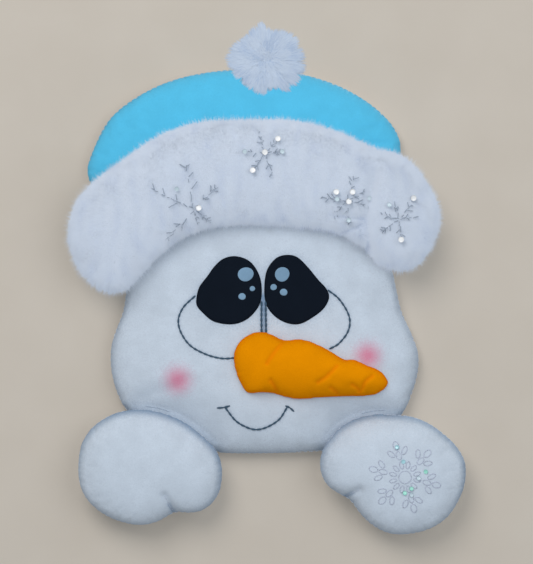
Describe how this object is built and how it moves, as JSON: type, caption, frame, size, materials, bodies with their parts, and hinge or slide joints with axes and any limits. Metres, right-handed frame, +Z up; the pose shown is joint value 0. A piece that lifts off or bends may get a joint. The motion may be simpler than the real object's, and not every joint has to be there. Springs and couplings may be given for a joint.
{
  "type": "hanging snowman figure",
  "caption": "Padded fabric snowman for a wall or door, with a fur-brimmed hat, pom-pom, carrot nose and two flapping hands.",
  "frame": {"origin": "on the head's flat back panel, in the middle of the head, where it lies against the wall", "axes": "+X to the right as seen from the front, +Z up, +Y into the wall, so the front faces -Y"},
  "size_m": [0.2798, 0.0641, 0.3591],
  "materials": {
    "fleece": "soft white fleece, shaded blue-grey along its seams",
    "felt": "turquoise felt",
    "plush": "white short-pile plush",
    "yarn": "white cut yarn",
    "lining": "white woven lining",
    "filling": "loose polyester fibre",
    "nose_cloth": "orange felt, darker along its edge",
    "pupil_cloth": "black felt with painted highlights",
    "thread": "dark blue-green embroidery thread",
    "sequins": "silver sequins and glitter thread",
    "webbing": "white woven tape",
    "brass": "small brass ring",
    "sewing_thread": "white polyester sewing thread"
  },
  "bodies": {
    "figure": {"head_back": "fleece", "head_front": "fleece", "head_stuffing": "filling", "hat_back": "felt", "hat_front": "felt", "hat_stuffing": "filling", "brim_plush": "plush", "brim_lining": "lining", "brim_stuffing": "filling", "brim_snowflake_left": "sequins", "brim_snowflake_centre": "sequins", "brim_snowflake_right": "sequins", "brim_snowflake_end": "sequins", "left_pupil": "pupil_cloth", "right_pupil": "pupil_cloth", "left_eye_line": "thread", "right_eye_line": "thread", "eye_bridge_line": "thread", "smile_line": "thread", "left_smile_tick": "thread", "right_smile_tick": "thread", "nose_back": "nose_cloth", "nose_front": "nose_cloth", "nose_stuffing": "filling", "hanging_tab": "webbing", "left_hand_stitch": "sewing_thread", "right_hand_stitch": "sewing_thread"},
    "left_hand": {"left_hand_front": "fleece", "left_hand_back": "fleece", "left_hand_stuffing": "filling", "left_hand_thumb_stitch": "thread"},
    "right_hand": {"right_hand_front": "fleece", "right_hand_back": "fleece", "right_hand_stuffing": "filling", "right_hand_thumb_stitch": "thread", "hand_snowflake": "sequins"},
    "pom_pom_tie": {"pom_pom_tie": "yarn"},
    "pom_pom": {"pom_pom": "yarn"},
    "hanging_ring": {"hanging_ring": "brass"}
  },
  "joints": [
    {"name": "left_hand_flap", "type": "hinge", "parent": "figure", "child": "left_hand", "pos_m": [-0.072, -0.015, -0.05], "axis": [-0.9691, 0, 0.2467], "range_deg": [0, 75]},
    {"name": "right_hand_flap", "type": "hinge", "parent": "figure", "child": "right_hand", "pos_m": [0.074, -0.015, -0.0512], "axis": [-0.9691, 0, -0.2467], "range_deg": [0, 75]},
    {"name": "pom_pom_sway", "type": "hinge", "parent": "figure", "child": "pom_pom_tie", "pos_m": [0, -0.0195, 0.179], "axis": [0, 1, 0], "range_deg": [-12, 12], "stiffness_Nm_per_rad": 0.06},
    {"name": "pom_pom_nod", "type": "hinge", "parent": "pom_pom_tie", "child": "pom_pom", "pos_m": [0, -0.0195, 0.179], "axis": [1, 0, 0], "range_deg": [0, 25], "stiffness_Nm_per_rad": 0.06},
    {"name": "ring_swing", "type": "hinge", "parent": "figure", "child": "hanging_ring", "pos_m": [0, 0.0026, 0.184], "axis": [1, 0, 0], "range_deg": [0, 180]}
  ]
}
